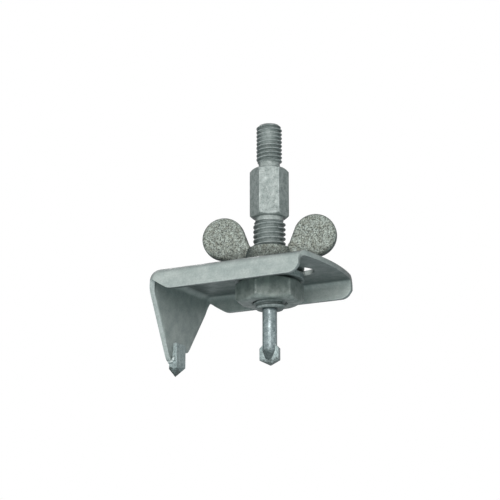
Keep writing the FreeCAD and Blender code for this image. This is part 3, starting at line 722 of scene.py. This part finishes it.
# Washers: two plain punched washers, one on each side of the arm, zinc plated and dulled. Their
# outer rims are painted bright, a painted highlight; the lower one's rim shows under the tray.
WASHER_R, WASHER_HOLE_R, WASHER_ROUND, HOLE_ROUND = 10.5, 5.25, 0.3, 0.2
RIM_HIGHLIGHT_WIDTH = 0.25
dulled_zinc = metal("dulled_zinc", (140, 148, 145), (112, 120, 117), (214, 220, 217), (60, 66, 64),
                    patch=0.4, speckle=3.0, depth=0.15, stretch=(1, 1, 1), mark=0.0, metallic=0.06,
                    gloss=(0.42, 0.55), grain=0.02, rub=0.6)
for washer_name, low, high, body in (("lower_washer", -35.15, -33.15, "swing_washer"),
                                     ("upper_washer", -31.55, -30.05, "clamp_washer")):
    corners = [(WASHER_HOLE_R, low, HOLE_ROUND), (WASHER_R, low, WASHER_ROUND),
               (WASHER_R, high, WASHER_ROUND), (WASHER_HOLE_R, high, HOLE_ROUND)]
    line = finer(rounded_profile(corners), 0.7)
    # Mask of the painted highlight along the washer's outer rim.
    painted_rim_highlight = np.exp(-np.maximum(WASHER_R - line[:, :1], 0) / RIM_HIGHLIGHT_WIDTH) + 0 * angle
    washer = skin(washer_name + "_plate", ring_grid(line[:, :1], line[:, 1:], 0.0), {"edge": painted_rim_highlight},
                  closed=True)
    washer.data.materials.append(dulled_zinc)
    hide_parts(washer_name)
    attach(washer, body)


# Hex nut: 18 mm across flats, chamfered on both faces, its plating dull and brushed. The arm is
# clamped down against it.
NUT_FLAT_R, NUT_TOP, NUT_LOW, NUT_TURN, NUT_BORE_R = 9.0, -35.2, -41.9, 32.8, 5.0
nut_bore = np.array([(NUT_LOW, 0.45), (NUT_LOW + 0.5, 0), (NUT_TOP - 0.5, 0), (NUT_TOP, 0.45)])
nut_r, nut_z, nut_edge = stacked(hex_rings(NUT_FLAT_R, NUT_TOP, NUT_LOW),
                                 (NUT_BORE_R + nut_bore[:, 1:] + 0 * angle, nut_bore[:, :1], 0.5))
nut = skin("hex_nut_body", ring_grid(nut_r, nut_z, NUT_TURN), {"edge": nut_edge}, closed=True)
dull_plate = metal("dull_brushed_plate", (160, 166, 160), (128, 135, 129), (222, 224, 218), (70, 70, 64),
                   patch=0.45, speckle=3.6, depth=0.18, stretch=(2.2, 2.2, 0.25), mark=0.12,
                   metallic=0.06, gloss=(0.4, 0.52), grain=0.03, rub=0.6)
nut.data.materials.append(dull_plate)
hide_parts("hex_nut")
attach(nut, "spindle")


# Pilot drill: a bright ground shank, slotted across its tapered end for the carbide plate that is
# brazed into it.
# Its lower end is darker towards the tip.
bright = metal("bright_ground_steel", (150, 160, 161), (114, 125, 126), (220, 224, 224), (52, 60, 58),
               patch=0.8, speckle=2.8, depth=0.5, stretch=(1.0, 1.0, 6.0), mark=0.12, metallic=0.2,
               gloss=(0.28, 0.42), grain=0.02, darkened_below=(-54.8, -57.0, 0.75))
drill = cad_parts["pilot_drill"]
drill.data.materials.clear()
drill.data.materials.append(bright)


def bevelled_copy(name, node_name, width):
    """Merged copy of a CAD node with its sharp edges a little rounded, as grinding leaves them."""
    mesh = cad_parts[node_name].data.copy()
    mesh.materials.clear()
    copy = shown(name, mesh, weld=1e-6, sharp=math.radians(30))
    rounding = copy.modifiers.new("ground_edges", "BEVEL")
    rounding.width = width * MM
    rounding.segments = 2
    rounding.limit_method = "ANGLE"
    rounding.angle_limit = math.radians(25)
    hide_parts(node_name)
    return copy


# Carbide pieces: the pilot's pointed plate and the arm's cutting tip, both ground, their edges a
# little rounded and their lowest points painted dark, a painted shade on the facets that face down.
carbide = metal("ground_carbide", (172, 184, 183), (136, 147, 146), (230, 234, 232), (58, 66, 64),
                patch=0.9, speckle=2.8, depth=0.4, stretch=(4, 4, 0.8), mark=0.1, metallic=0.15,
                gloss=(0.3, 0.45), grain=0.03, darkened_below=(-58.6, -59.8, 0.92))
for piece_name, node_name, body in (("pilot_plate", "pilot_carbide_plate", "spindle"),
                                    ("cutting_tip", "cutter_tip", "arm")):
    ground = bevelled_copy(piece_name, node_name, 0.1)
    ground.data.materials.append(carbide)
    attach(ground, body)


# Braze films: thin films of silvery braze that hold the carbide plate and the cutting tip. The
# braze's near-white patches are painted highlights over its own silvery tone.
silver_with_painted_glints = metal("silver_braze_painted_glints", (226, 232, 230), (116, 128, 125), (220, 220, 212), (90, 88, 78),
               patch=0.6, speckle=2.5, depth=0.3, stretch=(1, 1, 1), mark=0.0, metallic=0.3,
               gloss=(0.3, 0.45), grain=0.04)
for node_name in ("pilot_braze", "cutter_braze"):
    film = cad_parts[node_name]
    film.data.materials.clear()
    film.data.materials.append(silver_with_painted_glints)


# Braze fillets: two lumpy beads of the same braze that were left along the sides of the cutting
# tip, round the leg's lower corners and up its inner face.
BEAD_R, BEAD_LUMP, BEAD_Y = 0.5, 0.2, 2.95
BEAD_PATH = [(-33.3, -56.9), (-32.7, -57.1), (-31.75, -57.0), (-31.45, -56.2), (-31.35, -55.3)]


def bead_rings(side):
    """Rings along the bead's path; their radius swells and shrinks as three sine waves add up."""
    t = np.linspace(0, len(BEAD_PATH) - 1, 60)
    x, z = (np.interp(t, range(len(BEAD_PATH)), [place[k] for place in BEAD_PATH]) for k in (0, 1))
    lump = np.sin(2.9 * t + side) + 0.7 * np.sin(6.1 * t + 2 * side) + 0.5 * np.sin(11.3 * t)
    ends = np.sqrt(np.clip(1 - (2 * t / t[-1] - 1) ** 8, 0.02, 1))
    r = (BEAD_R * ends * (1 + BEAD_LUMP * lump))[:, None]
    along = np.stack([np.gradient(x), np.gradient(z)], 1)
    along /= np.linalg.norm(along, axis=1)[:, None]
    turn = np.linspace(0, 2 * np.pi, 16, endpoint=False)
    out = r * np.cos(turn)
    return np.stack([x[:, None] - along[:, 1:] * out, side * BEAD_Y + r * np.sin(turn),
                     z[:, None] + along[:, :1] * out], -1)


beads = skin("braze_fillets", bead_rings(-1), {})
beads_back = skin("braze_bead", bead_rings(1), {})
both = bmesh.new()
both.from_mesh(beads.data)
both.from_mesh(beads_back.data)
both.to_mesh(beads.data)
both.free()
bpy.data.objects.remove(beads_back)
beads.data.materials.append(silver_with_painted_glints)
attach(beads, "arm")
